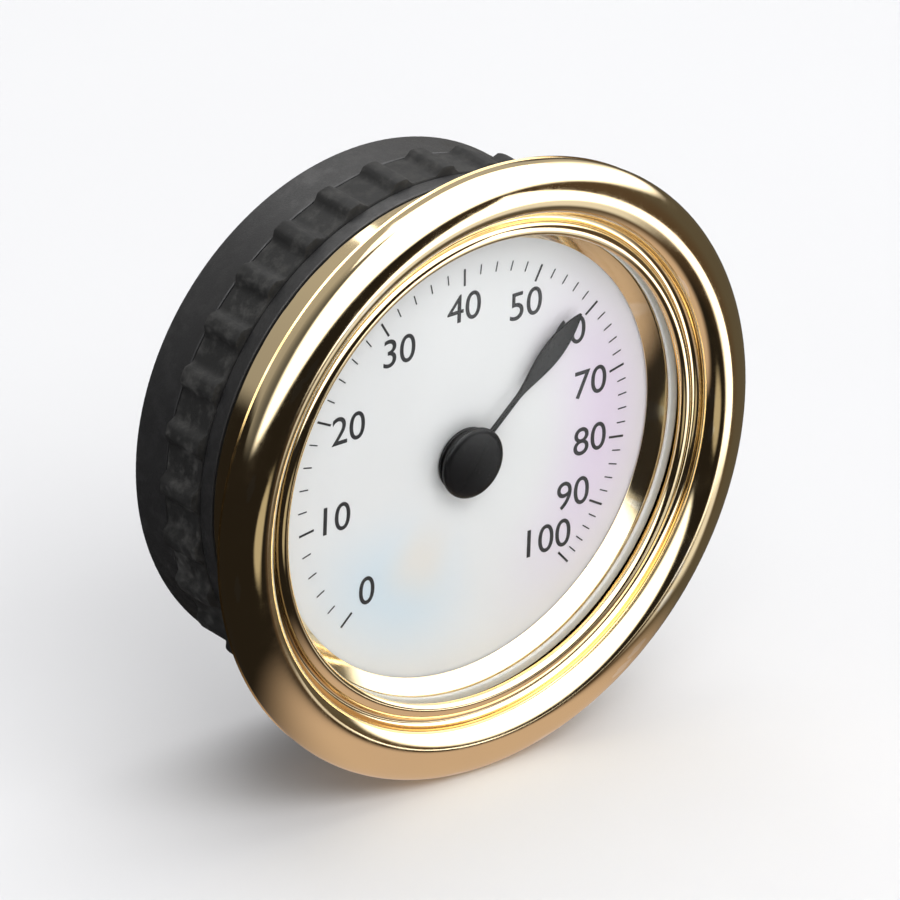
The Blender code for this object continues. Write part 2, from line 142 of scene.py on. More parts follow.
class Nodes:
    """A node tree, with short calls for the nodes that this scene uses."""

    def __init__(self, tree, coordinates):
        self.tree = tree
        self.place = tree.nodes.new("ShaderNodeTexCoord").outputs[coordinates]

    def node(self, kind, **settings):
        made = self.tree.nodes.new("ShaderNode" + kind)
        for key, value in settings.items():
            setattr(made, key, value)
        return made

    def feed(self, socket, value):
        """Link an output to a socket, or set a plain value on it."""
        if isinstance(value, bpy.types.NodeSocket):
            self.tree.links.new(value, socket)
        else:
            socket.default_value = value

    def math(self, operation, *values, clamp=False):
        made = self.node("Math", operation=operation, use_clamp=clamp)
        for socket, value in zip(made.inputs, values):
            self.feed(socket, value)
        return made.outputs[0]

    def split(self):
        """Return the place's X, Y and Z."""
        made = self.node("SeparateXYZ")
        self.feed(made.inputs[0], self.place)
        return made.outputs

    def noise(self, size_mm, detail, roughness=0.55, place=None):
        """Return 3-D noise whose features are about this many millimetres across."""
        made = self.node("TexNoise")
        made.inputs["Scale"].default_value = 1.0 / (size_mm * MM)
        made.inputs["Detail"].default_value = detail
        made.inputs["Roughness"].default_value = roughness
        self.feed(made.inputs["Vector"], place or self.place)
        return made.outputs["Fac"]

    def stretched(self, factors, centre=(0.0, 0.0, 0.0)):
        """Return the place moved by a centre in millimetres and stretched along each axis."""
        made = self.node("Mapping", vector_type="POINT")
        made.inputs["Location"].default_value = [-c * MM * f for c, f in zip(centre, factors)]
        made.inputs["Scale"].default_value = factors
        self.feed(made.inputs["Vector"], self.place)
        return made.outputs["Vector"]

    def radius(self, centre=(0.0, 0.0)):
        """Return the distance from an axis along Y, in millimetres."""
        flat = self.stretched((1.0, 0.0, 1.0), (centre[0], 0.0, centre[1]))
        length = self.node("VectorMath", operation="LENGTH")
        self.feed(length.inputs[0], flat)
        return self.math("MULTIPLY", length.outputs["Value"], 1.0 / MM)

    def along(self, heading):
        """Return how far a place lies along a level heading, in metres."""
        dot = self.node("VectorMath", operation="DOT_PRODUCT")
        self.feed(dot.inputs[0], self.place)
        dot.inputs[1].default_value = (*heading, 0.0)
        return dot.outputs["Value"]

    def distance(self, centre_mm, factors):
        """Return the level distance from a centre, in metres, stretched along X and Y."""
        flat = self.stretched((*factors, 0.0), (*centre_mm, 0.0))
        length = self.node("VectorMath", operation="LENGTH")
        self.feed(length.inputs[0], flat)
        return length.outputs["Value"]

    def rings(self, size_mm, centre=(0.0, 0.0)):
        """Return noise that changes only with the distance from the axis, like turning marks."""
        made = self.node("TexNoise", noise_dimensions="1D")
        made.inputs["Scale"].default_value = 1.0 / size_mm
        made.inputs["Detail"].default_value = 3.0
        self.feed(made.inputs["W"], self.radius(centre))
        return made.outputs["Fac"]

    def ramp(self, value, low, high, low_out=0.0, high_out=1.0):
        """Return a value mapped smoothly from one range to another."""
        made = self.node("MapRange", interpolation_type="SMOOTHSTEP")
        sockets = ("From Min", "From Max", "To Min", "To Max")
        for name, number in zip(sockets, (low, high, low_out, high_out)):
            made.inputs[name].default_value = number
        self.feed(made.inputs["Value"], value)
        return made.outputs["Result"]

    def mix(self, share, first, second):
        """Return a colour between two colours, which are outputs or plain (red, green, blue)."""
        made = self.node("Mix", data_type="RGBA")
        self.feed(made.inputs[0], share)
        for place, colour in ((6, first), (7, second)):
            plain = not isinstance(colour, bpy.types.NodeSocket)
            self.feed(made.inputs[place], (*colour, 1.0) if plain else colour)
        return made.outputs[2]

    def around(self, stops):
        """Return a colour that changes with the place's azimuth; the stops are (azimuth, colour)."""
        right, back, _ = self.split()
        azimuth = self.math("ARCTAN2", right, self.math("MULTIPLY", back, -1.0))
        share = self.node("MapRange")
        share.inputs["From Min"].default_value = -math.pi
        share.inputs["From Max"].default_value = math.pi
        self.feed(share.inputs["Value"], azimuth)
        ramp = self.node("ValToRGB")
        ramp.color_ramp.interpolation = "EASE"
        self.feed(ramp.inputs[0], share.outputs[0])
        points = ramp.color_ramp.elements
        for place, (angle, colour) in enumerate(stops):
            point = points[place] if place < 2 else points.new(1.0)
            point.position = (angle + 180.0) / 360.0
            point.color = (*colour, 1.0)
        return ramp.outputs["Color"]


class Paint(Nodes):
    """A material, with short calls for its shader's inputs."""

    def __init__(self, name, colour, roughness, metallic=0.0):
        self.material = bpy.data.materials.new(name)
        self.material.use_nodes = True
        super().__init__(self.material.node_tree, "Object")
        self.shader = self.tree.nodes["Principled BSDF"]
        self.shader.inputs["Base Color"].default_value = (*colour, 1.0)
        self.shader.inputs["Roughness"].default_value = roughness
        self.shader.inputs["Metallic"].default_value = metallic

    def edges(self):
        """Return a mask of convex edges, where a painted highlight goes."""
        return self.ramp(self.node("NewGeometry").outputs["Pointiness"], 0.51, 0.56)

    def bump(self, height, depth_mm):
        """Drive the shader's normal from a height."""
        made = self.node("Bump")
        made.inputs["Distance"].default_value = depth_mm * MM
        self.feed(made.inputs["Height"], height)
        earlier = self.shader.inputs["Normal"]
        if earlier.is_linked:
            self.feed(made.inputs["Normal"], earlier.links[0].from_socket)
        self.feed(earlier, made.outputs["Normal"])

    def set(self, name, value):
        self.feed(self.shader.inputs[name], value)


def gilt(name):
    """Polished gold plating with faint turning marks, smears and a painted highlight that makes its
    convex edges paler.
    """
    paint = Paint(name, (0.93, 0.73, 0.42), 0.09, 1.0)
    cloud = paint.noise(5.0, 3.0)
    colour = paint.mix(cloud, (0.94, 0.76, 0.46), (0.89, 0.72, 0.46))
    # Painted highlight: convex edges are mixed towards a pale gold.
    paint.set("Base Color", paint.mix(paint.edges(), colour, (0.97, 0.86, 0.66)))
    smear = paint.noise(1.4, 6.0, 0.65)
    paint.set("Roughness", paint.ramp(smear, 0.35, 0.75, 0.055, 0.13))
    paint.bump(paint.rings(0.16), 0.0008)
    paint.bump(paint.noise(0.35, 2.0), 0.0006)
    return paint.material


def brass(name, centre=(0.0, 0.0)):
    """Satin brass, turned about a centre, with light tarnish."""
    paint = Paint(name, (0.76, 0.57, 0.28), 0.3, 1.0)
    tarnish = paint.ramp(paint.noise(1.8, 5.0, 0.6), 0.4, 0.7)
    paint.set("Base Color", paint.mix(tarnish, (0.80, 0.60, 0.30), (0.62, 0.42, 0.19)))
    marks = paint.rings(0.07, centre)
    paint.set("Roughness", paint.ramp(marks, 0.3, 0.7, 0.22, 0.4))
    paint.bump(marks, 0.004)
    return paint.material


def steel(name, grain=(1.0, 1.0, 14.0)):
    """Drawn steel with grain along one axis and slight staining."""
    paint = Paint(name, (0.58, 0.59, 0.6), 0.28, 1.0)
    stain = paint.ramp(paint.noise(1.2, 5.0), 0.45, 0.75)
    paint.set("Base Color", paint.mix(stain, (0.62, 0.63, 0.64), (0.42, 0.41, 0.4)))
    lines = paint.noise(0.5, 3.0, 0.6, paint.stretched(grain))
    paint.set("Roughness", paint.ramp(lines, 0.3, 0.7, 0.18, 0.36))
    paint.bump(lines, 0.003)
    return paint.material


def bronze(name):
    """Sintered bronze: dull and full of fine pores."""
    paint = Paint(name, (0.5, 0.32, 0.17), 0.5, 1.0)
    pores = paint.noise(0.09, 3.0, 0.7)
    paint.set("Base Color", paint.mix(pores, (0.30, 0.18, 0.09), (0.62, 0.41, 0.22)))
    paint.set("Roughness", paint.ramp(pores, 0.3, 0.7, 0.65, 0.42))
    paint.bump(pores, 0.02)
    return paint.material


def lacquer(name):
    """Semi-gloss black lacquer with a fine orange peel and a few dull specks."""
    paint = Paint(name, (0.01, 0.01, 0.011), 0.13)
    specks = paint.ramp(paint.noise(0.12, 2.0, 0.8), 0.66, 0.74)
    paint.set("Base Color", paint.mix(specks, (0.008, 0.008, 0.009), (0.035, 0.034, 0.033)))
    paint.set("Roughness", paint.ramp(specks, 0.0, 1.0, 0.24, 0.45))
    paint.set("Specular IOR Level", 0.2)
    paint.bump(paint.noise(0.45, 2.0), 0.0004)
    return paint.material


def moulded(name):
    """Black moulded plastic with a spark-eroded grain, shinier where its rim is rubbed."""
    paint = Paint(name, (0.014, 0.014, 0.015), 0.5)
    grain = paint.noise(0.11, 3.0, 0.7)
    cloud = paint.noise(3.5, 4.0)
    colour = paint.mix(cloud, (0.011, 0.011, 0.012), (0.022, 0.022, 0.023))
    rim = paint.ramp(paint.radius(), BODY_RADIUS - 0.7, BODY_RADIUS - 0.2)
    rubbed = paint.math("MULTIPLY", rim, paint.ramp(paint.noise(1.1, 5.0, 0.65), 0.42, 0.7))
    paint.set("Base Color", paint.mix(rubbed, colour, (0.026, 0.026, 0.027)))
    rough = paint.ramp(grain, 0.25, 0.75, 0.42, 0.62)
    paint.set("Roughness", paint.math("SUBTRACT", rough, paint.math("MULTIPLY", rubbed, 0.16)))
    paint.bump(grain, 0.012)
    return paint.material


def rubber(name):
    """Dull black rubber with a light bloom in its hollows."""
    paint = Paint(name, (0.02, 0.02, 0.02), 0.85)
    bloom = paint.ramp(paint.noise(0.9, 6.0, 0.65), 0.45, 0.72)
    paint.set("Base Color", paint.mix(bloom, (0.014, 0.014, 0.014), (0.05, 0.049, 0.047)))
    paint.set("Roughness", paint.ramp(bloom, 0.0, 1.0, 0.7, 0.92))
    paint.set("Specular IOR Level", 0.35)
    paint.bump(paint.noise(0.14, 3.0, 0.7), 0.014)
    return paint.material


def silicone(name):
    """Milky clear silicone."""
    paint = Paint(name, (0.82, 0.82, 0.8), 0.45)
    haze = paint.noise(0.6, 4.0)
    paint.set("Base Color", paint.mix(haze, (0.86, 0.86, 0.84), (0.74, 0.74, 0.71)))
    paint.set("Roughness", paint.ramp(haze, 0.3, 0.7, 0.38, 0.55))
    paint.bump(haze, 0.004)
    return paint.material


def strip_metal(name):
    """The bare side of the coil's strip: rolled copper alloy with heat tints."""
    paint = Paint(name, (0.7, 0.48, 0.32), 0.3, 1.0)
    tint = paint.ramp(paint.noise(1.6, 4.0), 0.35, 0.7)
    paint.set("Base Color", paint.mix(tint, (0.78, 0.55, 0.36), (0.52, 0.33, 0.25)))
    lines = paint.noise(0.3, 3.0, 0.6, paint.stretched((1.0, 12.0, 1.0)))
    paint.set("Roughness", paint.ramp(lines, 0.3, 0.7, 0.2, 0.38))
    paint.bump(lines, 0.003)
    return paint.material


def strip_coating(name):
    """The moisture-taking side of the coil's strip: a thin fibrous cream layer."""
    paint = Paint(name, (0.62, 0.52, 0.38), 0.75)
    fibre = paint.noise(0.16, 5.0, 0.7)
    paint.set("Base Color", paint.mix(fibre, (0.50, 0.40, 0.28), (0.74, 0.66, 0.52)))
    paint.set("Roughness", paint.ramp(fibre, 0.3, 0.7, 0.65, 0.85))
    paint.bump(fibre, 0.01)
    return paint.material


def ink(name):
    """Screen-printed dark grey ink, slightly uneven."""
    paint = Paint(name, (0.05, 0.05, 0.055), 0.5)
    cloud = paint.noise(0.3, 4.0)
    paint.set("Base Color", paint.mix(cloud, (0.012, 0.012, 0.014), (0.035, 0.035, 0.039)))
    paint.set("Roughness", paint.ramp(cloud, 0.3, 0.7, 0.42, 0.6))
    paint.bump(paint.noise(0.08, 2.0), 0.003)
    return paint.material


def dial_paint(name):
    """White enamel with soft lilac, blue and peach washes painted on as lens reflections."""
    paint = Paint(name, (0.87, 0.87, 0.88), 0.35)
    white = paint.mix(paint.noise(4.0, 3.0), (0.885, 0.885, 0.89), (0.85, 0.85, 0.86))
    right, _, up = paint.split()
    clock = paint.math("ARCTAN2", right, up)
    radius = paint.radius()

    def tint(below, centre, spread, near, far, share, colour):
        """Wash a colour over a sector about a clock angle, between two radii, as a painted reflection."""
        away = paint.math("SUBTRACT", clock, math.radians(centre))
        away = paint.math("ABSOLUTE", paint.math("WRAP", away, math.pi, -math.pi))
        sector = paint.ramp(away, math.radians(spread * 0.1), math.radians(spread), 1.0, 0.0)
        middle = (near + far) / 2
        rising = paint.ramp(radius, near, middle)
        falling = paint.ramp(radius, middle, far, 1.0, 0.0)
        band = paint.math("MULTIPLY", rising, falling)
        mask = paint.math("MULTIPLY", paint.math("MULTIPLY", sector, band), share)
        return paint.mix(mask, below, colour)

    # Painted reflections: lilac, blue and peach washes that stand in for the lens's sheen.
    lilac = (0.82, 0.68, 0.86)
    blue = (0.62, 0.79, 0.92)
    peach = (0.96, 0.80, 0.64)
    colour = tint(white, 95.0, 80.0, 5.0, 15.5, 0.8, lilac)
    colour = tint(colour, 214.0, 52.0, 3.0, 14.5, 0.62, blue)
    colour = tint(colour, 207.0, 26.0, 3.2, 9.8, 0.42, peach)
    paint.set("Base Color", colour)
    peel = paint.noise(0.22, 3.0)
    paint.set("Roughness", paint.ramp(peel, 0.3, 0.7, 0.32, 0.46))
    paint.bump(peel, 0.0015)
    return paint.material


def clear_lens(name):
    """Thin clear glass: light goes straight through, and each outer face adds a faint gloss."""
    gloss_share = 0.35
    paint = Paint(name, (1.0, 1.0, 1.0), 0.02)
    out = paint.tree.nodes["Material Output"]
    paint.tree.nodes.remove(paint.shader)
    through = paint.node("BsdfTransparent")
    through.inputs["Color"].default_value = (0.985, 0.99, 0.988, 1.0)
    gloss = paint.node("BsdfGlossy")
    wiped = paint.noise(2.2, 5.0, 0.6)
    paint.feed(gloss.inputs["Roughness"], paint.ramp(wiped, 0.4, 0.8, 0.015, 0.06))
    fresnel = paint.node("Fresnel")
    fresnel.inputs["IOR"].default_value = 1.49
    outside = paint.math("SUBTRACT", 1.0, paint.node("NewGeometry").outputs["Backfacing"])
    blend = paint.node("MixShader")
    facing = paint.math("MULTIPLY", outside, gloss_share)
    paint.feed(blend.inputs[0], paint.math("MULTIPLY", fresnel.outputs[0], facing))
    paint.feed(blend.inputs[1], through.outputs[0])
    paint.feed(blend.inputs[2], gloss.outputs[0])
    paint.feed(out.inputs["Surface"], blend.outputs[0])
    return paint.material


# ---------------------------------------------------------------- shapes


def at(radius, angle):
    """Return the (x, z) point at a radius and a clock angle."""
    return radius * math.sin(math.radians(angle)), radius * math.cos(math.radians(angle))


def arc(centre, reach, start, end, count):
    """Return points on an ellipse as (radius, depth) pairs."""
    points = []
    for step in range(count + 1):
        angle = math.radians(start + (end - start) * step / count)
        points.append((centre[0] + reach[0] * math.cos(angle), centre[1] + reach[1] * math.sin(angle)))
    return points


def soften(outline, cut, steps=4):
    """Round each corner of a closed outline by up to a cut length, but for corners on the axis."""
    smooth = []
    for number, corner in enumerate(outline):
        if corner[0] == 0.0:
            smooth.append(corner)
            continue
        corner = Vector(corner)
        before = Vector(outline[number - 1]) - corner
        after = Vector(outline[(number + 1) % len(outline)]) - corner
        reach = min(cut, 0.42 * before.length, 0.42 * after.length)
        first = corner + before.normalized() * reach
        last = corner + after.normalized() * reach
        for step in range(steps + 1):
            share = step / steps
            point = first.lerp(corner, share).lerp(corner.lerp(last, share), share)
            smooth.append((point.x, point.y))
    return smooth


def tube(inner, outer, front, back):
    """Return the outline of a plain ring."""
    return [(inner, front), (outer, front), (outer, back), (inner, back)]


def finish_mesh(name, bm, paints, angle=SHARP_ANGLE):
    """Turn a bmesh into a smooth-shaded object with outward faces."""
    bmesh.ops.recalc_face_normals(bm, faces=bm.faces)
    mesh = bpy.data.meshes.new(name)
    bm.to_mesh(mesh)
    bm.free()
    for paint in paints:
        mesh.materials.append(paint)
    mesh.shade_smooth()
    mesh.set_sharp_from_angle(angle=math.radians(angle))
    made = bpy.data.objects.new(name, mesh)
    bpy.context.scene.collection.objects.link(made)
    return made


def turned(name, outline, paint, sides=WIDE_SIDES, sweep=360.0, start=0.0, centre=(0.0, 0.0)):
    """Spin a closed (radius, depth) outline about an axis along Y."""
    bm = bmesh.new()
    corners = [bm.verts.new((radius * MM, depth * MM, 0.0)) for radius, depth in outline]
    edges = [bm.edges.new(pair) for pair in zip(corners, corners[1:] + corners[:1])]
    whole = sweep == 360.0
    bmesh.ops.spin(
        bm,
        geom=corners + edges,
        cent=(0, 0, 0),
        axis=(0, 1, 0),
        angle=math.radians(sweep),
        steps=sides,
        use_merge=whole,
    )
    bmesh.ops.remove_doubles(bm, verts=bm.verts, dist=2e-7)
    if whole:
        on_axis = []
        for edge in bm.edges:
            if all(math.hypot(corner.co.x, corner.co.z) < 1e-7 for corner in edge.verts):
                on_axis.append(edge)
        bmesh.ops.delete(bm, geom=on_axis, context="EDGES")
    else:
        bmesh.ops.holes_fill(bm, edges=bm.edges, sides=0)
    bmesh.ops.transform(bm, matrix=Matrix.Rotation(math.radians(start), 4, "Y"), verts=bm.verts)
    bmesh.ops.translate(bm, verts=bm.verts, vec=(centre[0] * MM, 0.0, centre[1] * MM))
    return finish_mesh(name, bm, [paint])


def plate(name, outline, front, back, paint, turn=0.0):
    """Extrude an (x, z) outline from one depth to another, turned clockwise by an angle."""
    bm = bmesh.new()
    face = bm.faces.new([bm.verts.new((x * MM, front * MM, z * MM)) for x, z in outline])
    deepen(bm, face, back - front)
    bmesh.ops.transform(bm, matrix=Matrix.Rotation(math.radians(turn), 4, "Y"), verts=bm.verts)
    return finish_mesh(name, bm, [paint] if paint else [])


def deepen(bm, face, depth):
    """Extrude a face along Y by a depth in millimetres."""
    grown = bmesh.ops.extrude_face_region(bm, geom=[face], use_keep_orig=True)["geom"]
    moved = [item for item in grown if isinstance(item, bmesh.types.BMVert)]
    bmesh.ops.translate(bm, verts=moved, vec=(0, depth * MM, 0))


def add_bevel(made, width, segments=3):
    """Round a piece's sharp edges by a width in millimetres."""
    edge = made.modifiers.new("edges", "BEVEL")
    edge.width = width * MM
    edge.segments = segments
    edge.limit_method = "ANGLE"
    edge.angle_limit = math.radians(SHARP_ANGLE)
    edge.use_clamp_overlap = True


def cut(made, tool):
    """Take a cutter away from a piece, before any bevel that it has."""
    change = made.modifiers.new("cut", "BOOLEAN")
    change.operation = "DIFFERENCE"
    change.solver = "EXACT"
    change.object = tool
    for place in range(len(made.modifiers) - 1):
        if made.modifiers[place].type == "BEVEL":
            made.modifiers.move(len(made.modifiers) - 1, place)
            break


def merge_flat(made):
    """Merge a piece's coplanar faces, so that a cut leaves no slivers on its flat walls."""
    flat = made.modifiers.new("flat", "DECIMATE")
    flat.decimate_type = "DISSOLVE"
    flat.angle_limit = math.radians(0.1)


def settle(made, tools):
    """Apply a piece's modifiers, keep its flat faces flat and remove the cutters that it used."""
    apply_modifiers(made)
    made.data.shade_smooth()
    made.data.set_sharp_from_angle(angle=math.radians(SHARP_ANGLE))
    made.modifiers.new("flat_faces", "WEIGHTED_NORMAL").keep_sharp = True
    apply_modifiers(made)
    for tool in tools:
        bpy.data.objects.remove(tool, do_unlink=True)
    return made


def apply_modifiers(made):
    """Replace a piece's mesh with its evaluated mesh."""
    bpy.context.view_layer.update()
    shape = made.evaluated_get(bpy.context.evaluated_depsgraph_get())
    old = made.data
    made.data = bpy.data.meshes.new_from_object(shape)
    made.data.name = made.name
    made.modifiers.clear()
    bpy.data.meshes.remove(old)


def stand_in(made, node, body):
    """Let a finished piece stand for its CAD node, on the node's body."""
    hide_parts(node)
    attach(made, body)


# ---------------------------------------------------------------- front


def make_bezel():
    """The gilt bezel: a wide round bead, a narrow cove and a rounded lip over the lens."""
    bead_peak, bead_foot = 17.1, -0.7
    bead_inside, inside_foot = 15.6, -0.9
    cove_floor, cove_depth = 15.2, 0.3
    lip_foot, lip_half, lip_height = -0.7, 0.45, 0.3
    height = -BEZEL_FRONT
    outside_reach = (BEZEL_RADIUS - bead_peak, height + bead_foot)
    inside_reach = (bead_peak - bead_inside, height + inside_foot)
    outside = arc((bead_peak, bead_foot), outside_reach, 0, -90, 24)
    inside = arc((bead_peak, inside_foot), inside_reach, -90, -180, 24)
    cove = arc((cove_floor, inside_foot), (bead_inside - cove_floor, cove_depth), 0, 90, 12)
    lip = arc((OPENING_RADIUS + lip_half, lip_foot), (lip_half, lip_height), 0, -180, 20)
    seat = LENS_FRONT - 0.1
    ledge = -0.15
    behind = [
        (OPENING_RADIUS, seat),
        (LENS_RADIUS + CLEARANCE, seat),
        (LENS_RADIUS + CLEARANCE, ledge),
        (DIAL_RADIUS + CLEARANCE, ledge),
        (DIAL_RADIUS + CLEARANCE, SKIRT_BACK),
        (BODY_RADIUS, SKIRT_BACK),
        (BODY_RADIUS, 0.0),
        (BEZEL_RADIUS, 0.0),
    ]
    outline = outside + inside[1:] + cove[1:] + lip + soften(behind, 0.14)
    stand_in(turned("bezel_gilt", outline, gilt("bezel_gold")), "bezel", CASE)


def make_lens():
    """The clear lens with a polished edge."""
    outline = [
        (0.0, LENS_FRONT),
        (LENS_RADIUS, LENS_FRONT),
        (LENS_RADIUS, LENS_BACK),
        (0.0, LENS_BACK),
    ]
    lens = turned("lens_clear", soften(outline, 0.15), clear_lens("lens_glass"))
    stand_in(lens, "lens", CASE)


def make_dial():
    """The dial ring, the gasket and the white dial with its rounded edges."""
    low, high = span("dial_ring")
    ring = [
        (OPENING_RADIUS, low.y),
        (DIAL_RADIUS, low.y),
        (DIAL_RADIUS, high.y),
        (WINDOW_RADIUS, high.y),
    ]
    made = turned("dial_ring_gilt", soften(ring, 0.08), gilt("ring_gold"))
    stand_in(made, "dial_ring", CASE)
    low, high = span("lens_gasket")
    gasket = soften(tube(OPENING_RADIUS, high.x, low.y, high.y), 0.12)
    made = turned("gasket_ring", gasket, silicone("gasket_silicone"))
    stand_in(made, "lens_gasket", CASE)
    dial = soften(tube(1.0, DIAL_RADIUS, DIAL_FRONT, DIAL_BACK), 0.05)
    stand_in(turned("dial_face", dial, dial_paint("dial_enamel")), "dial", CASE)


def scale_angle(reading):
    """Return the clock angle of a reading in per cent; low readings are wider apart."""
    share = reading / 100.0
    return SCALE_START + SCALE_SWEEP * share * (1.0 + SCALE_BIAS - SCALE_BIAS * share)


def make_print():
    """The numerals from 0 to 100 and the ticks, as thin raised ink on the dial."""
    paint = ink("dial_ink")
    raised = 0.025
    sunk = 0.005
    numeral_circle = 9.4
    numeral_size = 2.5
    bm = bmesh.new()
    for reading in range(0, 101, 10):
        font = bpy.data.curves.new("numeral", "FONT")
        font.body = str(reading)
        font.size = numeral_size * MM
        font.align_x = "CENTER"
        font.align_y = "CENTER"
        font.extrude = (raised + sunk) / 2 * MM
        font.resolution_u = 6
        text = bpy.data.objects.new("numeral", font)
        bpy.context.scene.collection.objects.link(text)
        x, z = at(numeral_circle, scale_angle(reading))
        middle = Vector((x, DIAL_FRONT - (raised - sunk) / 2, z)) * MM
        text.matrix_world = Matrix.Translation(middle) @ Matrix.Rotation(math.radians(90), 4, "X")
        bpy.context.view_layer.update()
        solid = text.evaluated_get(bpy.context.evaluated_depsgraph_get())
        shape = bpy.data.meshes.new_from_object(solid)
        shape.transform(text.matrix_world)
        bm.from_mesh(shape)
        bpy.data.objects.remove(text, do_unlink=True)
        bpy.data.meshes.remove(shape)
        bpy.data.curves.remove(font)
    bmesh.ops.remove_doubles(bm, verts=bm.verts, dist=1e-7)
    numerals = finish_mesh("dial_numerals", bm, [paint], angle=30.0)
    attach(numerals, CASE)

    tick_end = 11.9
    bm = bmesh.new()
    for reading in range(0, 101, 2):
        start, half = (10.85, 0.065) if reading % 10 == 0 else (11.3, 0.035)
        place = Matrix.Rotation(math.radians(scale_angle(reading)), 4, "Y")
        corners = [(-half, start), (half, start), (half, tick_end), (-half, tick_end)]
        front = DIAL_FRONT - raised
        face = bm.faces.new([bm.verts.new(place @ Vector((x, front, z)) * MM) for x, z in corners])
        deepen(bm, face, raised + sunk)
    ticks = finish_mesh("dial_ticks", bm, [paint], angle=30.0)
    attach(ticks, CASE)


# ---------------------------------------------------------------- pointer


def make_pointer():
    """The leaf-shaped pointer, its hub and its domed cap."""
    paint = lacquer("pointer_lacquer")
    low, high = span("pointer")
    blade = plate("pointer_blade", pointer_outline(), low.y, high.y, paint, READING_ANGLE)
    tool = round_tool(ARBOR_BORE, (low.y - 1.0, high.y + 1.0), (0.0, 0.0), SMALL_SIDES)
    cut(blade, tool)
    add_bevel(blade, 0.05)
    stand_in(settle(blade, [tool]), "pointer", POINTER)

    low, high = span("pointer_hub")
    hub = soften(tube(ARBOR_BORE, high.x, low.y, high.y), 0.06)
    stand_in(turned("pointer_boss", hub, paint, MIDDLE_SIDES), "pointer_hub", POINTER)

    low, high = span("pointer_cap")
    shoulder = 0.45
    shoulder_depth = 0.22
    crown_rise = 0.05
    flat_edge = high.x - shoulder
    side = low.y + shoulder_depth + crown_rise
    dome = arc((flat_edge, side), (shoulder, shoulder_depth), 0, -90, 12)
    crown = [(radius, low.y + crown_rise * (radius / flat_edge) ** 2) for radius in (1.3, 0.9, 0.45)]
    rounded = soften([(high.x - 0.2, high.y), (high.x, high.y), (high.x, side)], 0.05)
    back_corner = rounded[5:10]
    outline = [(0.0, high.y)] + back_corner + dome + crown + [(0.0, low.y)]
    stand_in(turned("pointer_button", outline, paint, MIDDLE_SIDES), "pointer_cap", POINTER)


def pointer_outline():
    """Return the pointer's outline: a round eye, a thin neck and a leaf-shaped blade."""
    eye = 1.9
    neck = 0.16
    leaf_start, leaf_end = 4.6, 10.6
    leaf_half = 0.74
    widest = 0.55
    count = 24
    spread = math.degrees(math.asin(neck / eye))
    points = [at(eye, spread + (360.0 - 2 * spread) * step / 64) for step in range(65)]
    sides = []
    for step in range(count):
        share = step / count
        half = neck + (leaf_half - neck) * math.sin(math.pi * min(share / widest, 1.0) / 2) ** 1.5
        if share > widest:
            half = leaf_half * math.cos(math.pi * (share - widest) / (1.0 - widest) / 2) ** 0.8
        sides.append((half, leaf_start + (leaf_end - leaf_start) * share))
    points += [(-half, z) for half, z in sides]
    points.append((0.0, leaf_end))
    points += [(half, z) for half, z in reversed(sides)]
    return points


# ---------------------------------------------------------------- body


def make_case():
    """The moulded rear case with its vents, and the ribbed rubber ring."""
    inner = 13.9
    access = BEARING_RADIUS + 0.2
    recess = 0.25
    groove = BODY_RADIUS - 0.7
    chamfer = 0.5
    wall_front = CASE_BACK - 1.2
    outline = [
        (inner, CASE_FRONT),
        (DIAL_RADIUS, CASE_FRONT),
        (DIAL_RADIUS, SKIRT_BACK + CLEARANCE),
        (BODY_RADIUS, SKIRT_BACK + CLEARANCE),
        (BODY_RADIUS, GRIP_FRONT - 0.1),
        (groove, GRIP_FRONT - 0.1),
        (groove, GRIP_BACK + 0.1),
        (BODY_RADIUS, GRIP_BACK + 0.1),
        (BODY_RADIUS, CASE_BACK - chamfer),
        (BODY_RADIUS - chamfer, CASE_BACK),
        (access + 1.9, CASE_BACK),
        (access + 1.6, CASE_BACK - recess),
        (access + 0.5, CASE_BACK - recess),
        (access, CASE_BACK - 2 * recess),
        (access, wall_front),
        (inner - 0.5, wall_front),
        (inner, wall_front - 0.5),
    ]
    case = turned("rear_shell", soften(outline, 0.12, 3), moulded("case_plastic"), 180)
    vents = 12
    vent_start, vent_end, vent_half = 5.4, 11.6, 0.65
    tool = vent_tool(vents, vent_start, vent_end, vent_half, wall_front - 1.0, CASE_BACK + 1.0)
    cut(case, tool)
    merge_flat(case)
    add_bevel(case, 0.06, 2)
    stand_in(settle(case, [tool]), "rear_case", CASE)
    make_grip()


def vent_tool(count, near, far, half_width, front, back):
    """Return one cutter that holds a ring of round-ended radial slots."""
    bm = bmesh.new()
    for number in range(count):
        angle = 360.0 * (number + 0.5) / count
        points = []
        for centre, start in ((far, -90.0), (near, 90.0)):
            x, z = at(centre, angle)
            for step in range(13):
                dx, dz = at(half_width, angle + start + step * 15.0)
                points.append(bm.verts.new(((x + dx) * MM, front * MM, (z + dz) * MM)))
        deepen(bm, bm.faces.new(points), back - front)
    return finish_mesh("vent_tool", bm, [])


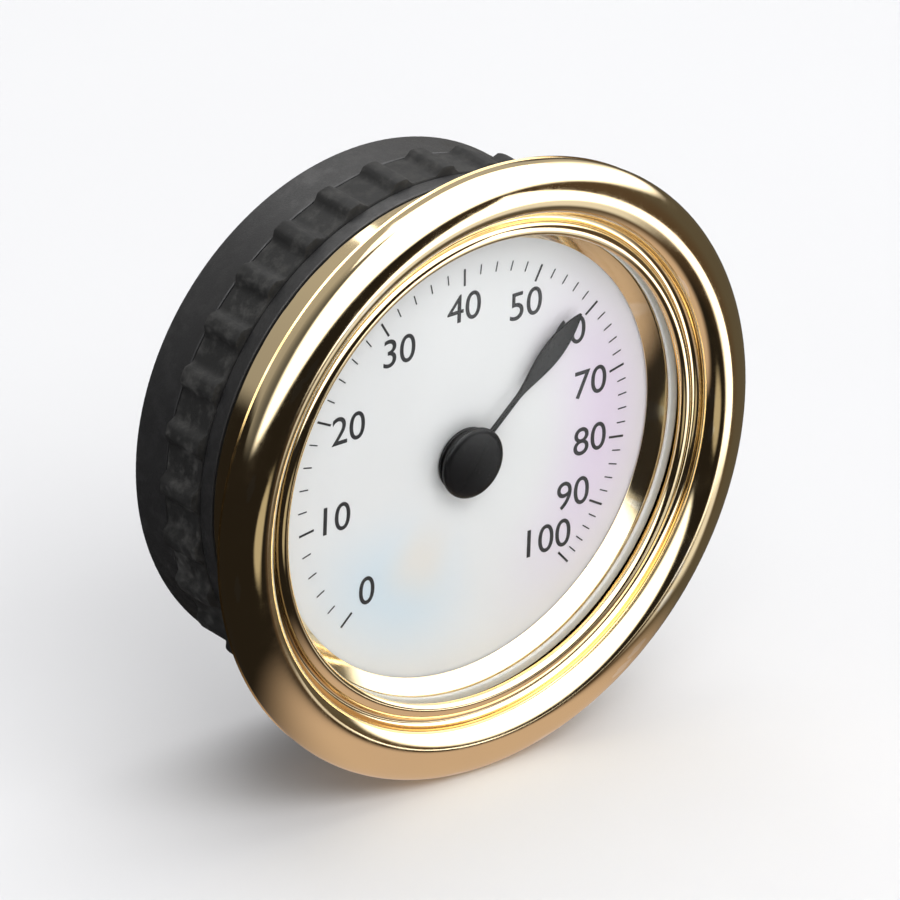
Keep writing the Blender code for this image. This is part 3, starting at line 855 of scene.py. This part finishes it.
def make_grip():
    """The rubber grip ring, with rounded ribs along the axis."""
    ribs = 30
    steps = 16
    rib_half = 0.36
    steepness = 22.0
    inner = BODY_RADIUS - 0.6
    floor = BODY_RADIUS + 0.05
    count = ribs * steps
    rows = [(0.0, GRIP_BACK), (0.0, GRIP_FRONT)]
    edge = 0.18
    nip = edge * 0.3
    rows += [(1.0 - edge, GRIP_FRONT), (1.0 - nip, GRIP_FRONT + nip), (1.0, GRIP_FRONT + edge)]
    rows += [(1.0, GRIP_BACK - edge), (1.0 - nip, GRIP_BACK - nip), (1.0 - edge, GRIP_BACK)]
    bm = bmesh.new()
    loops = []
    for share, depth in rows:
        loop = []
        for number in range(count):
            phase = abs((number / steps) % 1.0 - 0.5) * 2.0
            rise = 1.0 / (1.0 + math.exp((phase - rib_half) * steepness))
            outer = floor + (GRIP_RADIUS - floor) * rise
            x, z = at(inner + (outer - inner) * share, 360.0 * (number / steps) / ribs)
            loop.append(bm.verts.new((x * MM, depth * MM, z * MM)))
        loops.append(loop)
    for first, second in zip(loops, loops[1:] + loops[:1]):
        for number in range(count):
            after = (number + 1) % count
            bm.faces.new((first[number], first[after], second[after], second[number]))
    grip = finish_mesh("grip_rubber", bm, [rubber("grip_black")])
    stand_in(grip, "grip_ring", CASE)


# ---------------------------------------------------------------- movement


def make_frame_pieces():
    """Movement plate, front bush, pillars, bridge and screws."""
    low, high = span("movement_plate")
    plate_outline = soften(tube(1.0, high.x, low.y, high.y), 0.08)
    base = turned("base_plate", plate_outline, brass("plate_brass"))
    stand_in(base, "movement_plate", CASE)

    low, high = span("front_bush")
    flange = high.y - 0.35
    bush = [
        (ARBOR_BORE, low.y),
        (0.85, low.y),
        (0.85, flange),
        (high.x, flange),
        (high.x, high.y),
        (ARBOR_BORE, high.y),
    ]
    made = turned("front_bearing", soften(bush, 0.06), bronze("bush_bronze"), SMALL_SIDES)
    stand_in(made, "front_bush", CASE)

    bridge = plate("bridge_plate", bridge_outline(), BRIDGE_FRONT, BRIDGE_BACK, brass("bridge_brass"))
    reach = (BRIDGE_FRONT - 1.0, BRIDGE_BACK + 1.0)
    tools = [round_tool(BEARING_RADIUS + 0.1, reach, (0.0, 0.0), MIDDLE_SIDES)]
    for angle in PILLAR_ANGLES:
        tools.append(round_tool(SCREW_BORE, reach, at(PILLAR_CIRCLE, angle), SMALL_SIDES))
    for tool in tools:
        cut(bridge, tool)
    add_bevel(bridge, 0.08)
    stand_in(settle(bridge, tools), "rear_bridge", CASE)

    for number, angle in enumerate(PILLAR_ANGLES, start=1):
        make_pillar(number, at(PILLAR_CIRCLE, angle))
        make_screw(number, at(PILLAR_CIRCLE, angle))


def round_tool(radius, reach, centre, sides):
    """Return a round cutter about an axis along Y."""
    outline = [(0.0, reach[0]), (radius, reach[0]), (radius, reach[1]), (0.0, reach[1])]
    return turned("round_tool", outline, None, sides, centre=centre)


def bridge_outline():
    """Return a three-armed plate: a round middle with a round-ended arm to each pillar."""
    middle = 4.2
    half_width = 1.7
    spread = math.degrees(math.asin(half_width / middle))
    points = []
    for number, angle in enumerate(PILLAR_ANGLES):
        after = PILLAR_ANGLES[(number + 1) % len(PILLAR_ANGLES)]
        tip_x, tip_z = at(PILLAR_CIRCLE, angle)
        for step in range(25):
            dx, dz = at(half_width, angle - 90 + step * 7.5)
            points.append((tip_x + dx, tip_z + dz))
        gap = (after - angle) % 360 - 2 * spread
        for step in range(17):
            points.append(at(middle, angle + spread + gap * step / 16))
    return points


def make_pillar(number, centre):
    """A turned brass pillar with a waist ring at each end."""
    low, high = span(f"pillar_{number}")
    radius = (high.x - low.x) / 2
    waist = radius - 0.12
    thread_depth = 2.2
    outline = [
        (0.0, low.y),
        (radius, low.y),
        (radius, low.y + 0.7),
        (waist, low.y + 0.85),
        (waist, high.y - 0.85),
        (radius, high.y - 0.7),
        (radius, high.y),
        (SCREW_BORE, high.y),
        (SCREW_BORE, high.y - thread_depth),
        (0.0, high.y - thread_depth),
    ]
    paint = brass(f"post_brass_{number}", centre)
    made = turned(f"post_{number}", soften(outline, 0.07), paint, SMALL_SIDES, centre=centre)
    stand_in(made, f"pillar_{number}", CASE)


def make_screw(number, centre):
    """A slotted cheese-head screw with a threaded shank."""
    low, high = span(f"bridge_screw_{number}")
    radius = (high.x - low.x) / 2
    head = high.y - 0.65
    pitch = 0.25
    tip, core, neck, crest = 0.36, 0.4, 0.42, 0.5
    turns = int((head - low.y - 0.3) / pitch)
    outline = [(0.0, low.y), (tip, low.y)]
    for turn in range(turns):
        valley = low.y + 0.08 + turn * pitch
        outline += [(crest, valley + pitch * 0.5), (core, valley + pitch)]
    rounded = soften([(neck, head), (radius, head), (radius, high.y), (0.0, high.y)], 0.12)
    rim_corners = rounded[5:15]
    outline += [(neck, head)] + rim_corners + [(0.0, high.y)]
    screw = turned(f"screw_{number}", outline, steel(f"screw_steel_{number}"), SMALL_SIDES, centre=centre)
    half, reach, slot_depth = 0.2, 2.0, 0.35
    corners = [(-half, -reach), (half, -reach), (half, reach), (-half, reach)]
    angle = math.radians(25.0 + 70.0 * number)
    slot = []
    for x, z in corners:
        slot.append((
            centre[0] + x * math.cos(angle) - z * math.sin(angle),
            centre[1] + x * math.sin(angle) + z * math.cos(angle),
        ))
    tool = plate("slot_tool", slot, high.y - slot_depth, high.y + 1.0, None)
    cut(screw, tool)
    stand_in(settle(screw, [tool]), f"bridge_screw_{number}", CASE)


def make_regulator():
    """The slotted bush, arm, clip, washer and stud that set the pointer's zero."""
    low, high = span("regulator_bush")
    arm_low, arm_high = span("regulator_arm")
    boss, neck, pivot = 1.3, 1.05, 0.32
    pivot_end = 8.9
    shoulder = arm_high.y + 0.15
    head_front = BRIDGE_BACK + 0.5
    head_back = head_front + 0.45
    outline = [
        (pivot, low.y),
        (boss, low.y),
        (boss, low.y + 0.1),
        (neck, low.y + 0.1),
        (neck, low.y + 0.45),
        (boss, low.y + 0.45),
        (boss, shoulder),
        (BEARING_RADIUS, shoulder),
        (BEARING_RADIUS, head_front),
        (high.x, head_front),
        (high.x, head_back),
        (BEARING_RADIUS, head_back),
        (BEARING_RADIUS, high.y),
        (0.0, high.y),
        (0.0, pivot_end),
        (pivot, pivot_end),
    ]
    bush = turned("adjuster_bush", soften(outline, 0.12), brass("adjuster_brass"), MIDDLE_SIDES)
    half, reach, slot_depth = 0.35, 3.0, 0.9
    corners = [(-half, -reach), (half, -reach), (half, reach), (-half, reach)]
    tool = plate("slot_tool", corners, high.y - slot_depth, high.y + 1.0, None, REGULATOR_ANGLE)
    cut(bush, tool)
    stand_in(settle(bush, [tool]), "regulator_bush", REGULATOR)

    arm = plate("adjuster_arm", arm_outline(), arm_low.y, arm_high.y, steel("arm_steel"), REGULATOR_ANGLE)
    around = (arm_low.y - 1.0, arm_high.y + 1.0)
    stud_place = at(STUD_CIRCLE, REGULATOR_ANGLE)
    tools = [
        round_tool(boss + CLEARANCE, around, (0.0, 0.0), MIDDLE_SIDES),
        round_tool(STUD_RADIUS + CLEARANCE, around, stud_place, SMALL_SIDES),
    ]
    for tool in tools:
        cut(arm, tool)
    add_bevel(arm, 0.06)
    stand_in(settle(arm, tools), "regulator_arm", REGULATOR)

    low, high = span("retaining_clip")
    outline = soften(tube(neck + 0.1, 2.2, low.y, high.y), 0.05)
    clip = turned("spring_clip", outline, steel("clip_steel"), MIDDLE_SIDES, 290.0, REGULATOR_ANGLE)
    stand_in(clip, "retaining_clip", REGULATOR)

    low, high = span("coil_stud")
    outline = [(0.0, low.y), (STUD_RADIUS, low.y), (STUD_RADIUS, high.y), (0.0, high.y)]
    paint = brass("stud_brass", stud_place)
    stud = turned("stud_pin", soften(outline, 0.08), paint, SMALL_SIDES, centre=stud_place)
    stand_in(stud, "coil_stud", REGULATOR)

    low, high = span("friction_washer")
    inner = BEARING_RADIUS + CLEARANCE
    outline = [(inner, high.y - 0.14), (high.x, low.y), (high.x, low.y + 0.12), (inner, high.y)]
    washer = turned("dished_washer", soften(outline, 0.03), steel("washer_steel"), MIDDLE_SIDES)
    stand_in(washer, "friction_washer", CASE)


def arm_outline():
    """Return the arm's outline: a round eye on the bush that narrows to a round end at the stud."""
    eye = 2.6
    tip = 1.05
    points = [at(eye, 30.0 + 300.0 * step / 48) for step in range(49)]
    for step in range(25):
        dx, dz = at(tip, -90.0 + 7.5 * step)
        points.append((dx, STUD_CIRCLE + dz))
    return points


def make_arbor():
    """The steel arbor and the brass collet that grips the coil's inner end."""
    low, high = span("arbor")
    thick, thin = (high.x - low.x) / 2, 0.22
    step = COIL_BACK + 0.2
    outline = [
        (0.0, low.y),
        (thick, low.y),
        (thick, step),
        (thin, step + 0.2),
        (thin, high.y),
        (0.0, high.y),
    ]
    arbor = turned("arbor_pin", soften(outline, 0.06), steel("arbor_steel", (1.0, 1.0, 1.0)), SMALL_SIDES)
    stand_in(arbor, "arbor", POINTER)
    low, high = span("coil_collet")
    collet = turned(
        "collet_collar",
        soften(tube(ARBOR_BORE, COLLET_RADIUS, low.y, high.y), 0.1),
        brass("collet_brass"),
        SMALL_SIDES,
    )
    stand_in(collet, "coil_collet", POINTER)


def make_coil():
    """The two-sided strip, wound from the collet to the stud."""
    thick = 0.16
    gap = 0.02
    start = COLLET_RADIUS + gap + thick / 2
    end = STUD_CIRCLE - STUD_RADIUS - gap - thick / 2
    steps_per_turn = 90
    steps = int(COIL_TURNS * steps_per_turn)
    rows = []
    bm = bmesh.new()
    for step in range(steps + 1):
        share = step / steps
        angle = REGULATOR_ANGLE - 360.0 * COIL_TURNS * (1.0 - share)
        radius = start + (end - start) * share
        row = []
        for side, depth in ((-0.5, COIL_FRONT), (0.5, COIL_FRONT), (0.5, COIL_BACK), (-0.5, COIL_BACK)):
            x, z = at(radius + side * thick, angle)
            row.append(bm.verts.new((x * MM, depth * MM, z * MM)))
        rows.append(row)
    for first, second in zip(rows, rows[1:]):
        for corner in range(4):
            after = (corner + 1) % 4
            face = bm.faces.new((first[corner], first[after], second[after], second[corner]))
            face.material_index = 1 if corner == 1 else 0
    bm.faces.new(rows[0])
    bm.faces.new(list(reversed(rows[-1])))
    coil = finish_mesh("coil_strip", bm, [strip_metal("strip_metal"), strip_coating("strip_coating")])
    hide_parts("humidity_coil")
    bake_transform(coil)
    wind_evenly(steps)


def wind_evenly(steps):
    """Work out a weight for each point of the strip, from none at the stud to all at the collet; nothing
    uses the weights.
    """
    weights = []
    for step in range(steps + 1):
        weights += [1.0 - step / steps] * 4


# ---------------------------------------------------------------- stage


def make_floor():
    """A plain pale floor under the bezel's lowest edge."""
    bm = level_square(3.0, CAD_LOW.z)
    paint = Paint("floor_paint", (0.76, 0.76, 0.77), 0.6)
    paint.set("Base Color", paint.mix(paint.noise(60.0, 3.0), (0.77, 0.77, 0.78), (0.74, 0.74, 0.75)))
    paint.set("Specular IOR Level", 0.0)
    finish_mesh("floor", bm, [paint.material])


def level_square(reach, height):
    """Return a bmesh with one level square face, whose sides are twice the reach in metres."""
    bm = bmesh.new()
    corners = ((-reach, -reach), (reach, -reach), (reach, reach), (-reach, reach))
    bm.faces.new([bm.verts.new((x, y, height)) for x, y in corners])
    return bm


def make_bounce():
    """A glowing sheet, seen only in reflections, that paints what polished metal sees of the floor: dark,
    but warm underneath and just in front.
    """
    bm = level_square(4.0, 0.0)
    paint = Paint("reflection_sheet_paint", (0.5, 0.5, 0.5), 0.9)
    # Painted reflections: dark, bronze and olive all round, warm underneath and just in front.
    colour = paint.around(SIDE_COLOURS)
    under = paint.ramp(paint.distance((1.0, -4.0), (1.1, 1.4)), 0.010, 0.026, 1.0, 0.0)
    colour = paint.mix(under, colour, (0.21, 0.165, 0.14))
    before = paint.ramp(paint.distance((0.0, -42.0), (1.0, 1.0)), 0.008, 0.014, 1.0, 0.0)
    colour = paint.mix(before, colour, (0.17, 0.155, 0.12))

    # Two painted reflection strips run away to the front right: a narrow grey one, and a white one that
    # starts further out.
    # Their centre, half width and start are in metres.
    heading = math.radians(35.0)
    across = paint.along((math.cos(heading), math.sin(heading)))
    ahead = paint.along((math.sin(heading), -math.cos(heading)))
    side_fade, end_fade = 0.005, 0.01
    strips = ((0.009, 0.002, 0.022, 0.3), (0.005, 0.006, 0.041, 0.95))
    for centre, half, start, grey in strips:
        away = paint.math("ABSOLUTE", paint.math("SUBTRACT", across, centre))
        strip = paint.ramp(away, half, half + side_fade, 1.0, 0.0)
        shown = paint.math("MULTIPLY", strip, paint.ramp(ahead, start, start + end_fade))
        colour = paint.mix(shown, colour, (grey, grey, grey))
    glow = paint.node("Emission")
    glow.inputs["Strength"].default_value = GLEAM
    paint.feed(glow.inputs["Color"], colour)
    paint.feed(paint.tree.nodes["Material Output"].inputs["Surface"], glow.outputs[0])
    paint.tree.nodes.remove(paint.shader)
    reflection_sheet = finish_mesh("reflection_sheet", bm, [paint.material])
    reflection_sheet.location.z = CAD_LOW.z + 0.02 * MM
    for kind in ("camera", "diffuse", "transmission", "volume_scatter", "shadow"):
        setattr(reflection_sheet, "visible_" + kind, False)


def make_light(name, azimuth, elevation, distance, width, height, power):
    """A soft rectangular light at an azimuth and elevation, facing the instrument."""
    light = bpy.data.lights.new(name, "AREA")
    light.shape = "RECTANGLE"
    light.size = width
    light.size_y = height
    light.energy = power
    made = bpy.data.objects.new(name, light)
    back = direction(azimuth, elevation)
    made.location = back * distance
    made.rotation_mode = "QUATERNION"
    made.rotation_quaternion = back.to_track_quat("Z", "Y")
    bpy.context.scene.collection.objects.link(made)


def direction(azimuth, elevation):
    """Return the unit vector from the instrument at an azimuth and elevation; 0, 0 is towards -Y."""
    turn, rise = math.radians(azimuth), math.radians(elevation)
    return Vector((math.sin(turn) * math.cos(rise), -math.cos(turn) * math.cos(rise), math.sin(rise)))


def make_world():
    """A plain pale room, in which polished metal sees white above the front and little elsewhere."""
    world = bpy.data.worlds.new("studio")
    bpy.context.scene.world = world
    world.use_nodes = True
    nodes = Nodes(world.node_tree, "Generated")
    plain = nodes.tree.nodes["Background"]
    plain.inputs["Color"].default_value = (0.96, 0.965, 0.975, 1.0)
    plain.inputs["Strength"].default_value = 0.55

    white = (0.9, 0.9, 0.9)
    dim = (0.16, 0.155, 0.145)
    dusk = (0.04, 0.04, 0.04)
    above = [(-180, dim), (-80, dusk), (-52, white), (95, white), (125, dim)]
    _, _, height = nodes.split()
    rise = nodes.ramp(height, 0.05, 0.2)
    room = nodes.node("Background")
    room.inputs["Strength"].default_value = GLEAM
    nodes.feed(room.inputs["Color"], nodes.mix(rise, nodes.around(SIDE_COLOURS), nodes.around(above)))
    blend = nodes.node("MixShader")
    nodes.feed(blend.inputs[0], nodes.node("LightPath").outputs["Is Glossy Ray"])
    nodes.feed(blend.inputs[1], plain.outputs[0])
    nodes.feed(blend.inputs[2], room.outputs[0])
    nodes.feed(nodes.tree.nodes["World Output"].inputs["Surface"], blend.outputs[0])


def make_studio():
    """Two large soft lights: one above and behind to the right, and one in front."""
    make_light("overhead", 140.0, 66.0, distance=0.6, width=0.6, height=0.6, power=2.2)
    make_light("front", -10.0, 50.0, distance=0.7, width=0.7, height=0.4, power=2.6)
    bpy.context.scene.view_settings.view_transform = "Standard"


def make_camera():
    """The camera, above and to the left of the dial, with a slight roll."""
    azimuth, elevation, roll = -39.6, 26.0, 1.9
    distance = 0.962
    target = Vector((0.0, 0.0025, 0.0))
    camera = bpy.data.objects.new("camera", bpy.data.cameras.new("camera"))
    bpy.context.scene.collection.objects.link(camera)
    camera.data.lens = 680.0
    camera.data.sensor_width = 36.0
    back = direction(azimuth, elevation)
    camera.location = target + back * distance
    look = (-back).to_track_quat("-Z", "Y")
    camera.rotation_mode = "QUATERNION"
    camera.rotation_quaternion = look @ Euler((0.0, 0.0, math.radians(roll))).to_quaternion()
    camera.data.clip_start, camera.data.clip_end = 0.01, 20.0
    bpy.context.scene.camera = camera


make_bezel()
make_lens()
make_dial()
make_print()
make_pointer()
make_case()
make_frame_pieces()
make_regulator()
make_arbor()
make_coil()
make_floor()
make_bounce()
make_world()
make_studio()
make_camera()
